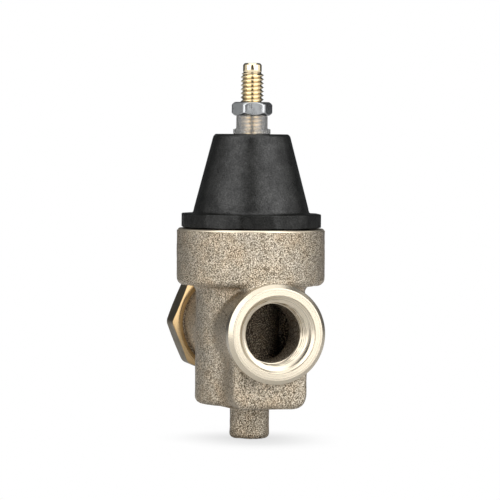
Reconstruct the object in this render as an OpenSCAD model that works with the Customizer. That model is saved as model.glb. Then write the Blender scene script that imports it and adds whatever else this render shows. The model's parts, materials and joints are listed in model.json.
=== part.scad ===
// Direct-acting water pressure regulator with a union inlet.
// Origin: centre of the flat end of the bottom boss. +Z runs up the valve axis to the adjusting screw.
// +X runs along the flow axis, out of the outlet port. Units are millimetres.

/* [Body casting] */
// Radius of the bottom boss
boss_r = 6.9; // [5:0.1:9]
// Height of the underside of the lower body above the boss face
base_z = 12.1; // [10:0.1:14]
// Outer radius of the lower body
body_r = 19.1; // [18.5:0.1:21]
// Height of the flow axis
flow_z = 38.4; // [38:0.1:40]
// Height of the underside of the drum
drum_z = 53.6; // [53:0.1:54.5]
// Height of the machined top of the drum
drum_top_z = 73.2; // [72.4:0.1:73.2]
// Outer radius of the drum
drum_r = 25.85; // [25:0.05:28]
// Radius of the wall around the seat module
partition_r = 9.7; // [9.5:0.1:11]
// Inner radius of the lower body
cavity_r = 16.1; // [15:0.1:16.5]

/* [Ports] */
// Distance from the valve axis to the face of the outlet port
outlet_x = 35.9; // [34:0.1:40]
// Radius of the machined collar on the outlet
collar_r = 17.1; // [16.5:0.1:18.5]
// Wall radius of the tapped holes, the mean crest of a 3/4-14 NPT thread
tap_r = 11.9; // [11.6:0.1:12.1]
// Depth of the tapped holes, below the countersink
tap_len = 7; // [6.5:0.1:8]
// Radius of the cast water passages
passage_r = 10.1; // [9:0.1:10.6]
// Distance from the valve axis to the end of the inlet hub
hub_end_x = 35.4; // [35:0.1:36]
// Outer radius of the thread on the inlet hub
hub_thread_r = 16.5; // [16.4:0.05:16.55]

/* [Union] */
// Width of the octagonal union nut across its flats
union_af = 37.9; // [37:0.1:40]
// Length of the octagonal union nut
union_len = 11.6; // [11.5:0.1:14]
// Thickness of the union gasket
gasket_t = 1.6; // [1:0.1:2]
// Distance from the valve axis to the end of the tailpiece
tail_end_x = 54; // [53:0.5:60]

/* [Bonnet] */
// Circumscribed radius of the twelve-sided flange
flange_r = 24.8; // [24:0.1:26]
// Height of the underside of the flange
flange_z = 73.4; // [73.3:0.1:74]
// Thickness of the flange
flange_t = 5; // [4:0.1:6]
// Radius of the cone at its top
cone_top_r = 13.4; // [13:0.1:15]
// Radius of the cone where it meets the flange
cone_base_r = 20.2; // [20:0.1:21]
// Height of the top of the cone
cone_top_z = 106.1; // [105:0.1:107]
// Outer radius of the thread that screws into the drum
neck_r = 21.5; // [21:0.1:21.5]

/* [Adjusting screw] */
// Outer radius of the 5/16-18 thread
screw_r = 3.97; // [3.9:0.01:3.97]
// Height of the top of the screw when it is backed out
screw_top_z = 130.8; // [128:0.1:134]
// Width of the lock nut across its flats
lock_af = 12.7; // [12:0.1:14]
// Thickness of the lock nut
lock_t = 4.76; // [4:0.01:6]
// Height of the sealing sleeve under the lock nut
sleeve_h = 6.4; // [5:0.1:8]

/* [Springs] */
// Mean radius of the range spring
range_r = 7.45; // [7.4:0.05:7.45]
// Wire radius of the range spring
range_wire_r = 1.4; // [1.2:0.05:1.45]
// Mean radius of the closing spring
closing_r = 4.75; // [4.7:0.05:4.8]
// Wire radius of the closing spring
closing_wire_r = 0.35; // [0.3:0.05:0.4]

/* [Hidden] */
clearance = 0.05;
$fn = 64;

// stack of heights, from the diaphragm down
ledge_z = 60.4;
ledge_r = 18.5;
chamber_z = 56.6;
diaphragm_t = 1.6;
slip_t = 0.8;
washer_t = 1.5;
plate_t = 1.6;
module_z = 38;
module_r = 7.9;
upper_ring_z = 55;
lower_ring_z = 52.2;
seat_z = 50.6;
spider_t = 2;
orifice_r = 3.8;
disc_t = 2.8;
disc_r = 5.1;
holder_r = 5.6;
holder_floor_t = 1.6;
stem_r = 1.9;
stem_tip_r = 1.5;
cavity_floor_z = 15.4;
low_cavity_top_z = 25.5;
low_cavity_r = 12.5;
outlet_floor_z = flow_z - passage_r;
inlet_roof_z = flow_z + passage_r;
web_t = 4;

// stack of heights, from the diaphragm up
clamp_z = ledge_z + diaphragm_t;
neck_bottom_z = clamp_z + slip_t;
plate_top_z = clamp_z + plate_t;
ceiling_z = 99.8;
ceiling_r = 10.2;
cone_wall = 3.6;
cone_edge = 0.7;
button_z = 95.6;
button_t = 2.4;
button_r = 8.9;
dimple_depth = 1;
screw_bottom_z = button_z + button_t - dimple_depth;
flange_top_z = flange_z + flange_t;

// outlet and inlet, along the flow axis
mouth_r = 13.3;
countersink = 1.2;
collar_len = 4.4;
collar_chamfer = 1.4;
hub_r = 15.9;
block_half_w = 13.9;
block_x = 28;
block_front_r = 3;
block_bottom_r = 3.8;
inlet_hub_r = 16.1;
cast_edge_r = 2.2;
boss_edge_r = 1.5;
hub_thread_x = 30;
nut_front_x = 30;
nut_back_x = nut_front_x + union_len;
tail_flange_x = hub_end_x + gasket_t;
lip_t = 2.2;
tail_r = 15.1;
tail_flange_r = 16.3;
gasket_r = 15.6;

// directions of the flats, about the valve axis
flange_turn = 5.5;
lock_turn = 22.1;

// ---- shared shapes ----

// Turns a solid drawn up +Z so that it runs along +X at the height of the flow axis.
module along_outlet() {
    translate([0, 0, flow_z]) rotate([0, 90, 0]) children();
}

// Turns a solid drawn up +Z so that it runs along -X at the height of the flow axis.
module along_inlet() {
    translate([0, 0, flow_z]) rotate([0, -90, 0]) children();
}

// Solid of revolution from z0 to z1 with a rounded lower rim.
module round_bottom(r, z0, z1, rim) {
    rotate_extrude() {
        translate([0, z0]) square([r - rim, z1 - z0]);
        translate([0, z0 + rim]) square([r, z1 - z0 - rim]);
        translate([r - rim, z0 + rim]) circle(rim);
    }
}

module ring(r_in, r_out, z0, z1) {
    difference() {
        translate([0, 0, z0]) cylinder(r = r_out, h = z1 - z0);
        translate([0, 0, z0 - 1]) cylinder(r = r_in, h = z1 - z0 + 2);
    }
}

// Prism with its edges turned off by a cone at each end, as on a nut cut from bar.
module chamfered_prism(sides, r, h) {
    face_r = r * cos(180 / sides) * 0.98;
    drop = (r - face_r) * 0.6;
    intersection() {
        cylinder(r = r, h = h, $fn = sides);
        rotate_extrude() polygon([[0, 0], [face_r, 0], [r, drop], [r, h - drop], [face_r, h], [0, h]]);
    }
}

// Tapped hole, as a plain bore, with its mouth at z = 0 and its depth down -Z.
module tapped_hole() {
    translate([0, 0, -countersink - tap_len]) cylinder(r = tap_r, h = countersink + tap_len + 1);
    translate([0, 0, -countersink]) cylinder(r1 = mouth_r - countersink, r2 = mouth_r, h = countersink);
}

// Height of a coil's centre line after a number of turns: one closed turn at each end.
function coil_z(turn, turns, z0, z1, wire_r) =
    let (closed = 2 * wire_r * 1.02, span = z1 - z0 - 2 * wire_r - 2 * closed)
    z0 + wire_r + (turn < 1 ? closed * turn
        : turn > turns - 1 ? closed + span + closed * (turn - turns + 1)
        : closed + span * (turn - 1) / (turns - 2));

// Round wire wound about +Z from z0 up to z1.
module coil(mean_r, wire_r, turns, z0, z1, steps = 12, sides = 6) {
    count = turns * steps;
    points = [for (i = [0 : count], k = [0 : sides - 1])
        let (a = 360 * i / steps, b = 360 * k / sides, r = mean_r + wire_r * cos(b))
        [r * cos(a), r * sin(a), coil_z(i / steps, turns, z0, z1, wire_r) + wire_r * sin(b)]];
    side_faces = [for (i = [0 : count - 1], k = [0 : sides - 1], half = [0, 1])
        let (k2 = (k + 1) % sides, p = i * sides, q = p + sides)
        half == 0 ? [p + k, q + k, q + k2] : [p + k, q + k2, p + k2]];
    start = [[for (k = [0 : sides - 1]) k]];
    end = [[for (k = [sides - 1 : -1 : 0]) count * sides + k]];
    polyhedron(points, concat(side_faces, start, end));
}

// ---- body ----

module casting_outside() {
    round_bottom(boss_r, 0, base_z + 1, boss_edge_r);
    round_bottom(body_r, base_z, drum_z + 1, cast_edge_r);
    round_bottom(drum_r, drum_z, drum_top_z, cast_edge_r);
    front_block();
    along_outlet() cylinder(r = hub_r, h = outlet_x - collar_len + 0.5);
    along_outlet() outlet_collar();
    along_inlet() cylinder(r = inlet_hub_r, h = hub_thread_x + 0.5);
    along_inlet() translate([0, 0, hub_thread_x]) cylinder(r = hub_thread_r, h = hub_end_x - hub_thread_x);
}

// Rectangle along +X from the origin, centred on Y, whose two far corners are rounded.
module round_end(length, half_w, corner_r) {
    translate([0, -half_w]) square([length - corner_r, 2 * half_w]);
    translate([0, corner_r - half_w]) square([length, 2 * (half_w - corner_r)]);
    for (side = [-1, 1])
        translate([length - corner_r, side * (half_w - corner_r)]) circle(corner_r);
}

// Square-shouldered block under the outlet hub, down to the base, with rounded front and bottom edges.
module front_block() {
    block_h = flow_z - base_z;
    intersection() {
        translate([0, 0, base_z]) linear_extrude(block_h) round_end(block_x, block_half_w, block_front_r);
        translate([0, 0, flow_z]) rotate([0, 90, 0])
            linear_extrude(block_x) round_end(block_h, block_half_w, block_bottom_r);
    }
}

module outlet_collar() {
    back = outlet_x - collar_len;
    rotate_extrude() polygon([
        [0, back],
        [collar_r, back],
        [collar_r, outlet_x - collar_chamfer],
        [collar_r - collar_chamfer, outlet_x],
        [0, outlet_x]
    ]);
}

// One side of the space between the lower body and the wall around the seat module.
module side_chamber(z0, z1, side) {
    difference() {
        translate([0, 0, z0]) cylinder(r = cavity_r, h = z1 - z0);
        translate([0, 0, z0 - 1]) cylinder(r = partition_r, h = z1 - z0 + 2);
        translate([side > 0 ? -2 * drum_r + web_t / 2 : -web_t / 2, -drum_r, z0 - 1])
            cube([2 * drum_r, 2 * drum_r, z1 - z0 + 2]);
    }
}

module casting_inside() {
    translate([0, 0, ledge_z]) cylinder(r = neck_r + clearance, h = drum_top_z);
    translate([0, 0, chamber_z]) cylinder(r = ledge_r, h = ledge_z);
    translate([0, 0, cavity_floor_z]) cylinder(r = module_r + 2 * clearance, h = ledge_z);
    translate([0, 0, cavity_floor_z]) cylinder(r = low_cavity_r, h = low_cavity_top_z - cavity_floor_z);
    side_chamber(outlet_floor_z, chamber_z + 1, 1);
    side_chamber(cavity_floor_z, inlet_roof_z, -1);
    translate([outlet_x, 0, flow_z]) rotate([0, 90, 0]) tapped_hole();
    difference() {
        along_outlet() cylinder(r = passage_r, h = outlet_x - countersink);
        translate([0, 0, cavity_floor_z]) cylinder(r = partition_r, h = drum_z);
    }
    difference() {
        along_inlet() cylinder(r = passage_r, h = hub_end_x + 1);
        translate([0, 0, cavity_floor_z]) cylinder(r = partition_r, h = drum_z);
    }
}

module body_casting() {
    color([0.60, 0.53, 0.43]) difference() {
        casting_outside();
        casting_inside();
    }
}

// ---- bonnet and adjusting screw ----

module bonnet() {
    color([0.07, 0.07, 0.07]) difference() {
        union() {
            rotate_extrude() polygon([
                [0, neck_bottom_z],
                [neck_r, neck_bottom_z],
                [neck_r, flange_z + 1],
                [cone_base_r + 0.8, flange_z + 1],
                [cone_base_r + 0.8, flange_top_z],
                [cone_base_r, flange_top_z + 1],
                [cone_top_r, cone_top_z - cone_edge],
                [cone_top_r - cone_edge, cone_top_z],
                [0, cone_top_z]
            ]);
            bonnet_flange();
        }
        rotate_extrude() polygon([
            [0, neck_bottom_z - 1],
            [ledge_r - 0.1, neck_bottom_z - 1],
            [ledge_r - 0.1, flange_z - 2],
            [cone_base_r - cone_wall, flange_top_z + 2],
            [ceiling_r, ceiling_z],
            [0, ceiling_z]
        ]);
        translate([0, 0, ceiling_z - 1]) cylinder(r = screw_r + clearance, h = cone_top_z);
    }
}

// Twelve-sided flange whose lower corners are turned to a shallow bevel.
module bonnet_flange() {
    bevel_run = 1.8;
    bevel_rise = 0.45;
    intersection() {
        translate([0, 0, flange_z]) rotate([0, 0, flange_turn])
            cylinder(r = flange_r, h = flange_t, $fn = 12);
        rotate_extrude() polygon([
            [0, flange_z],
            [flange_r - bevel_run, flange_z],
            [flange_r, flange_z + bevel_rise],
            [flange_r, flange_top_z],
            [0, flange_top_z]
        ]);
    }
}

module adjusting_screw() {
    tip_r = 3.25;
    tip_len = 3.2;
    pilot_r = 3;
    edge = 0.6;
    color([0.83, 0.68, 0.36]) rotate_extrude() polygon([
        [0, screw_bottom_z],
        [pilot_r - edge, screw_bottom_z],
        [pilot_r, screw_bottom_z + edge],
        [pilot_r, ceiling_z - 1],
        [screw_r, ceiling_z],
        [screw_r, screw_top_z - tip_len - edge],
        [tip_r, screw_top_z - tip_len],
        [tip_r, screw_top_z - edge],
        [tip_r - edge, screw_top_z],
        [0, screw_top_z]
    ]);
}

module lock_nut() {
    nut_z = cone_top_z + sleeve_h;
    color([0.72, 0.74, 0.76]) translate([0, 0, nut_z]) rotate([0, 0, lock_turn]) difference() {
        chamfered_prism(6, lock_af / 2 / cos(30), lock_t);
        translate([0, 0, -1]) cylinder(r = screw_r + clearance, h = lock_t + 2);
    }
}

module sealing_sleeve() {
    sleeve_r = 5.45;
    sleeve_foot_r = 6.5;
    sleeve_foot_h = 1.7;
    color([0.85, 0.86, 0.85]) {
        difference() {
            union() {
                translate([0, 0, cone_top_z]) cylinder(r = sleeve_r, h = sleeve_h);
                translate([0, 0, cone_top_z]) cylinder(r = sleeve_foot_r, h = sleeve_foot_h);
            }
            translate([0, 0, cone_top_z - 1]) cylinder(r = screw_r + 1.6 * clearance, h = sleeve_h + 2);
        }
    }
}

module spring_button() {
    pilot_h = 3;
    color([0.66, 0.66, 0.64]) difference() {
        union() {
            translate([0, 0, button_z]) cylinder(r = button_r, h = button_t);
            translate([0, 0, button_z - pilot_h])
                cylinder(r = range_r - range_wire_r - 0.3, h = pilot_h + 0.5);
        }
        translate([0, 0, screw_bottom_z]) cylinder(r = 3.3, h = button_t);
    }
}

module range_spring() {
    color([0.45, 0.46, 0.48]) coil(range_r, range_wire_r, 7, plate_top_z, button_z);
}

// ---- diaphragm and its clamp ----

module slip_ring() {
    color([0.80, 0.66, 0.35]) ring(ledge_r - 0.1, neck_r - 0.2, clamp_z, neck_bottom_z);
}

module diaphragm() {
    color([0.12, 0.12, 0.13]) ring(stem_r + clearance, neck_r - 0.2, ledge_z, clamp_z);
}

module diaphragm_plate() {
    cup_r = range_r + range_wire_r + 0.5;
    color([0.70, 0.70, 0.68]) {
        ring(stem_r + clearance, 15, clamp_z, plate_top_z);
        ring(cup_r, cup_r + 1.2, plate_top_z, plate_top_z + 1.8);
    }
}

module diaphragm_washer() {
    color([0.76, 0.63, 0.36]) ring(stem_r + clearance, 12, ledge_z - washer_t, ledge_z);
}

module stem_nut() {
    nut_h = 3.6;
    color([0.76, 0.63, 0.36]) translate([0, 0, plate_top_z]) difference() {
        chamfered_prism(6, 4.6, nut_h);
        translate([0, 0, -1]) cylinder(r = stem_r + clearance, h = nut_h + 2);
    }
}

// ---- stem and disc ----

module valve_stem() {
    holder_z = seat_z - disc_t - holder_floor_t;
    guide_z = ledge_z - washer_t;
    guide_r = 3.4;
    guide_t = 1.9;
    bottom_z = module_z + 0.6;
    top_z = plate_top_z + 4.6;
    edge = 0.4;
    color([0.80, 0.67, 0.38]) rotate_extrude() polygon([
        [0, bottom_z],
        [stem_tip_r, bottom_z],
        [stem_tip_r, holder_z],
        [stem_r, holder_z],
        [stem_r, guide_z - guide_t],
        [guide_r, guide_z - guide_t],
        [guide_r, guide_z],
        [stem_r, guide_z],
        [stem_r, top_z - edge],
        [stem_r - edge, top_z],
        [0, top_z]
    ]);
}

module disc_holder() {
    floor_z = seat_z - disc_t;
    color([0.76, 0.63, 0.36]) {
        ring(stem_r + clearance, holder_r, floor_z - holder_floor_t, floor_z);
        ring(disc_r + clearance, holder_r, floor_z, seat_z - 0.6);
    }
}

module seat_disc() {
    color([0.10, 0.10, 0.10]) ring(stem_r + clearance, disc_r, seat_z - disc_t, seat_z);
}

module disc_retainer() {
    nut_h = 2.2;
    translate([0, 0, seat_z - disc_t - holder_floor_t - nut_h]) color([0.76, 0.63, 0.36]) difference() {
        chamfered_prism(6, 3.9, nut_h);
        translate([0, 0, -1]) cylinder(r = stem_tip_r + clearance, h = nut_h + 2);
    }
}

module closing_spring() {
    color([0.60, 0.61, 0.62])
        coil(closing_r, closing_wire_r, 5, module_z + spider_t, seat_z - disc_t - holder_floor_t);
}

// ---- seat module and strainer ----

module o_ring_groove(z) {
    ring(6.9, module_r + 1, z - 0.6, z + 0.6);
}

module seat_module() {
    bowl_z = seat_z + 2;
    bowl_r = 5.4;
    inside_r = 6.6;
    lip_w = 0.7;
    hole_r = 1.5;
    hole_circle_r = 4;
    color([0.78, 0.66, 0.40]) difference() {
        translate([0, 0, module_z]) cylinder(r = module_r, h = chamber_z - module_z);
        translate([0, 0, module_z + spider_t])
            cylinder(r = inside_r, h = seat_z - module_z - spider_t + lip_w);
        translate([0, 0, seat_z]) cylinder(r = orifice_r, h = chamber_z);
        translate([0, 0, bowl_z]) cylinder(r = bowl_r, h = chamber_z);
        translate([0, 0, module_z - 1]) cylinder(r = stem_tip_r + clearance, h = spider_t + 2);
        for (a = [45 : 90 : 315])
            rotate([0, 0, a]) translate([hole_circle_r, 0, module_z - 1])
                cylinder(r = hole_r, h = spider_t + 2);
        o_ring_groove(upper_ring_z);
        o_ring_groove(lower_ring_z);
    }
    color([0.78, 0.66, 0.40]) ring(orifice_r, orifice_r + lip_w, seat_z, seat_z + 1);
}

module o_ring(z) {
    color([0.08, 0.08, 0.08]) translate([0, 0, z]) rotate_extrude() translate([7.45, 0]) circle(0.5);
}

module module_o_ring_upper() {
    o_ring(upper_ring_z);
}

module module_o_ring_lower() {
    o_ring(lower_ring_z);
}

// Slotted tube that stands on the floor of the lower cavity.
module strainer_screen() {
    screen_r = 7.6;
    wall = 0.5;
    slots = 12;
    color([0.74, 0.75, 0.76]) difference() {
        ring(screen_r - wall, screen_r, cavity_floor_z, low_cavity_top_z + 3);
        for (k = [0 : slots - 1])
            rotate([0, 0, 360 * k / slots]) translate([screen_r - 2, -0.9, cavity_floor_z + 1.5])
                cube([4, 1.8, low_cavity_top_z - cavity_floor_z - 3]);
    }
}

// ---- union ----

module union_nut() {
    color([0.78, 0.62, 0.33]) along_inlet() difference() {
        translate([0, 0, nut_front_x]) chamfered_prism(8, union_af / 2 / cos(22.5), union_len);
        translate([0, 0, nut_front_x - 1])
            cylinder(r = hub_thread_r + 2 * clearance, h = union_len - lip_t + 1);
        translate([0, 0, nut_front_x]) cylinder(r = tail_r + 2 * clearance, h = union_len + 1);
    }
}

module union_tailpiece() {
    color([0.74, 0.60, 0.36]) difference() {
        union() {
            along_inlet() translate([0, 0, tail_flange_x])
                cylinder(r = tail_flange_r, h = nut_back_x - lip_t - tail_flange_x);
            along_inlet() translate([0, 0, tail_flange_x])
                cylinder(r = tail_r, h = tail_end_x - tail_flange_x);
        }
        translate([-tail_end_x, 0, flow_z]) rotate([0, -90, 0]) tapped_hole();
        along_inlet() cylinder(r = passage_r, h = tail_end_x);
        for (side = [0, 1])
            mirror([0, side, 0]) translate([-tail_end_x - 1, tail_r - 0.8, flow_z - 20]) cube([8, 5, 40]);
    }
}

module union_gasket() {
    color([0.35, 0.22, 0.14]) along_inlet() ring(passage_r + 0.6, gasket_r, hub_end_x, tail_flange_x);
}

body_casting();
bonnet();
adjusting_screw();
lock_nut();
sealing_sleeve();
spring_button();
range_spring();
slip_ring();
diaphragm();
diaphragm_plate();
diaphragm_washer();
stem_nut();
valve_stem();
disc_holder();
seat_disc();
disc_retainer();
closing_spring();
seat_module();
module_o_ring_upper();
module_o_ring_lower();
strainer_screen();
union_nut();
union_tailpiece();
union_gasket();
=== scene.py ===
"""Water pressure regulator: cast bronze body, black bonnet, brass adjusting screw, union inlet.

Shapes are in millimetres until mesh_object() turns them into metres. Materials and lights use metres.
"""
import json
import math

import bpy
import numpy as np
from mathutils import Matrix, Vector

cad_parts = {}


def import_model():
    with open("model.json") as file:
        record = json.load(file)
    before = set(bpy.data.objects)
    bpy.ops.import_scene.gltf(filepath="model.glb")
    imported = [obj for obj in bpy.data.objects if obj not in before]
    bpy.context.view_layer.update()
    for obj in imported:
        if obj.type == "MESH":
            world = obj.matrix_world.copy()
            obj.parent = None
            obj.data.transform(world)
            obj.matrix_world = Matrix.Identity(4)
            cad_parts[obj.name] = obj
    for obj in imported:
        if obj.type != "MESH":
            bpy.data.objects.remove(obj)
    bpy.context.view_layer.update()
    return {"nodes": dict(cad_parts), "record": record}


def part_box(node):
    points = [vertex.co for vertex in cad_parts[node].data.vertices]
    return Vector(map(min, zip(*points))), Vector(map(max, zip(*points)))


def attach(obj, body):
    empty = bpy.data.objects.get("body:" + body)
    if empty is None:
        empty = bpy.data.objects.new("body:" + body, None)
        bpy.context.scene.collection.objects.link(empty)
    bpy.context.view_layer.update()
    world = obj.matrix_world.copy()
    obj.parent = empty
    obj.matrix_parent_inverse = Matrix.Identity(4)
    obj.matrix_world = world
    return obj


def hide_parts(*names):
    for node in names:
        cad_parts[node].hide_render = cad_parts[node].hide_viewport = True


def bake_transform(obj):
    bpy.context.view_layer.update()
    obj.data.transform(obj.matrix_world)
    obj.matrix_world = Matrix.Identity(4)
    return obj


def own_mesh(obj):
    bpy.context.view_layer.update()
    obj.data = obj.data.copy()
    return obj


MM = 0.001
TAU = 2.0 * math.pi
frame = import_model()


# ---- places and sizes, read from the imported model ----

def span(node):
    """Lowest and highest corner of a CAD node, in millimetres."""
    lo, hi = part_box(node)
    return np.array(lo) / MM, np.array(hi) / MM


def heights(node):
    """Lowest and highest z of a CAD node."""
    lo, hi = span(node)
    return lo[2], hi[2]


MOUNTS = {m["name"]: m for m in frame["record"]["mounts"]}
FLOW_Z = MOUNTS["outlet_port"]["pos_m"][2] / MM
TAP_R = MOUNTS["outlet_port"]["dims"]["r_mm"]
TAP_LEN = MOUNTS["outlet_port"]["dims"]["length_mm"]
CAST_LO, CAST_HI = span("body_casting")
OUTLET_X = CAST_HI[0]
HUB_END = -CAST_LO[0]
DRUM_TOP = CAST_HI[2]
DRUM_R = CAST_HI[1]
NECK_Z, CONE_TOP = heights("bonnet")
SCREW_R = span("adjusting_screw")[1][0]
SCREW_BOTTOM, SCREW_TOP = heights("adjusting_screw")
CHAMBER_Z = heights("seat_module")[1]

# Sizes that more than one part uses: thread pitches, the ports' mouths and the water passage.
INCH = 25.4
FINE_PITCH = INCH / 18
PIPE_PITCH = INCH / 14
COUNTERSINK = 1.2
MOUTH_R = 13.3
PASSAGE_R = 10.1
# Depths of the threads cut on the screw, and on and in the union.
FINE_DEPTH = 0.72
UNION_DEPTH = 0.85
# The bonnet's flange, and the length of the screw's plain tip.
FLANGE_BOTTOM = 73.4
FLANGE_TOP = 78.4
SCREW_TIP = 3.2


# ---- mesh building ----

def linked(name, data):
    """New object in the scene."""
    obj = bpy.data.objects.new(name, data)
    bpy.context.scene.collection.objects.link(obj)
    return obj


def place(axis, r, theta, h):
    """Points at radius r, angle theta and height h about the valve, outlet or inlet axis."""
    u = r * np.cos(theta)
    v = r * np.sin(theta)
    h = h + np.zeros_like(u)
    if axis == "valve":
        return np.stack([u, v, h], -1)
    if axis == "outlet":
        return np.stack([h, v, FLOW_Z - u], -1)
    return np.stack([-h, v, FLOW_Z + u], -1)


def outward(points, faces):
    """The same faces, turned round if they enclose a negative volume."""
    volume = 0.0
    for f in faces:
        a = points[f[:, 0]]
        for k in range(1, f.shape[1] - 1):
            volume += np.einsum("ij,ij->i", a, np.cross(points[f[:, k]], points[f[:, k + 1]])).sum()
    if volume < 0:
        return [f[:, ::-1] for f in faces]
    return faces


def mesh_object(name, points, faces, sharp=32.0):
    """Object from points in millimetres and a list of face arrays, each with one face per row."""
    mesh = bpy.data.meshes.new(name)
    loops = np.concatenate([f.ravel() for f in faces])
    sizes = np.concatenate([np.full(len(f), f.shape[1]) for f in faces])
    starts = np.concatenate([[0], np.cumsum(sizes)[:-1]])
    mesh.vertices.add(len(points))
    mesh.vertices.foreach_set("co", (points * MM).astype(np.float32).ravel())
    mesh.loops.add(len(loops))
    mesh.loops.foreach_set("vertex_index", loops.astype(np.int32))
    mesh.polygons.add(len(sizes))
    mesh.polygons.foreach_set("loop_start", starts.astype(np.int32))
    mesh.update(calc_edges=True)
    mesh.validate()
    smooth(mesh, sharp)
    return linked(name, mesh)


def smooth(mesh, sharp):
    """Smooth shading, but for edges bent by more than the given angle in degrees."""
    mesh.shade_smooth()
    mesh.set_sharp_from_angle(angle=math.radians(sharp))


def grid_faces(rows, cols, loop):
    """Quads of a rows-by-columns grid closed round the columns, and round the rows too if loop."""
    count = rows if loop else rows - 1
    i = np.arange(count)[:, None]
    j = np.arange(cols)[None, :]
    i2 = (i + 1) % rows
    j2 = (j + 1) % cols
    return np.stack([i * cols + j, i2 * cols + j, i2 * cols + j2, i * cols + j2], -1).reshape(-1, 4)


def wrapped(name, rows, loop=True, sharp=32.0):
    """Solid from a (rows, columns, 3) grid. Without loop, the end rows close to their centres."""
    n, cols = rows.shape[:2]
    points = rows.reshape(-1, 3)
    faces = [grid_faces(n, cols, loop)]
    if not loop:
        base = len(points)
        points = np.vstack([points, rows[0].mean(0), rows[-1].mean(0)])
        j = np.arange(cols)
        j2 = (j + 1) % cols
        last = (n - 1) * cols
        faces.append(np.stack([np.full(cols, base), j, j2], -1))
        faces.append(np.stack([np.full(cols, base + 1), last + j2, last + j], -1))
    return mesh_object(name, points, outward(points, faces), sharp)


def eased(outline, radius, steps=3, loop=True):
    """The (r, h) outline with every corner rounded and a support point on each side of it."""
    pts = [np.array(p, float) for p in outline]
    n = len(pts)
    out = []
    for i, p in enumerate(pts):
        if not loop and i in (0, n - 1):
            out.append(p)
            continue
        to_a = pts[i - 1] - p
        to_b = pts[(i + 1) % n] - p
        len_a = np.linalg.norm(to_a)
        len_b = np.linalg.norm(to_b)
        cut_a = min(radius, 0.3 * len_a)
        cut_b = min(radius, 0.3 * len_b)
        start = p + to_a / len_a * cut_a
        end = p + to_b / len_b * cut_b
        out.append(p + to_a / len_a * cut_a * 1.4)
        for t in np.linspace(0, 1, steps + 1):
            out.append((1 - t) ** 2 * start + 2 * t * (1 - t) * p + t * t * end)
        out.append(p + to_b / len_b * cut_b * 1.4)
    return np.array(out)


def turned(name, axis, outline, edge=0.25, cols=96, loop=True):
    """Solid of revolution from a list of (radius, height). Without loop it starts and ends on the axis."""
    prof = eased(outline, edge, loop=loop)
    theta = np.arange(cols) * TAU / cols
    if not loop:
        prof = prof[1:-1]
    rows = place(axis, prof[:, :1] + 0 * theta, theta[None, :], prof[:, 1:])
    return wrapped(name, rows, loop)


def groove(theta, h, pitch, depth):
    """Depth of a right-hand thread below its crest."""
    wave = np.abs(2 * ((h / pitch - theta / TAU) % 1.0) - 1)
    return depth * np.clip((wave - 0.12) / 0.74, 0, 1)


def polygon_r(theta, sides, vertex_r, turn=0.0):
    """Radius of a regular polygon at each angle."""
    half = math.pi / sides
    a = (theta - turn) % (2 * half) - half
    return vertex_r * math.cos(half) / np.cos(a)


def column(values):
    return np.atleast_1d(np.array(values, float))[:, None]


def rings(points):
    """One row block for each plain ring, given as (radius, height)."""
    return [(column([r]), column([h])) for r, h in points]


def round_angles(cols, turn=0.0):
    return turn + np.arange(cols) * TAU / cols


def blocks_solid(name, axis, theta, blocks, loop=True, sharp=32.0):
    """Solid from row blocks, each the radii of its rows, round or not, and a column of heights."""
    cols = len(theta)
    r = np.vstack([np.broadcast_to(radii, (len(heights), cols)) for radii, heights in blocks])
    h = np.vstack([np.broadcast_to(heights, (len(heights), cols)) for radii, heights in blocks])
    return wrapped(name, place(axis, r, theta[None, :], h), loop, sharp)


# ---- noise ----

def lattice_noise(points, cell, seed):
    """Smooth value noise from -1 to 1 at the given points, with one random value per cell corner."""
    rng = np.random.default_rng(seed)
    table = rng.uniform(-1, 1, 4096)
    q = points / cell
    base = np.floor(q).astype(np.int64)
    f = q - base
    f = f * f * (3 - 2 * f)
    total = np.zeros(len(points))
    for corner in range(8):
        d = np.array([corner & 1, corner >> 1 & 1, corner >> 2 & 1])
        key = (base + d) @ np.array([73856093, 19349663, 83492791])
        w = np.prod(np.where(d == 1, f, 1 - f), axis=1)
        total += w * table[(key ^ (key >> 13)) % 4096]
    return total


# ---- materials ----

def srgb(r, g, b):
    """Linear colour from 0-255 display values."""
    out = []
    for c in (r, g, b):
        c = c / 255.0
        out.append(c / 12.92 if c <= 0.04045 else ((c + 0.055) / 1.055) ** 2.4)
    return (out[0], out[1], out[2], 1.0)


BLACK = (0.0, 0.0, 0.0, 1.0)
WHITE = (1.0, 1.0, 1.0, 1.0)


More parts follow.
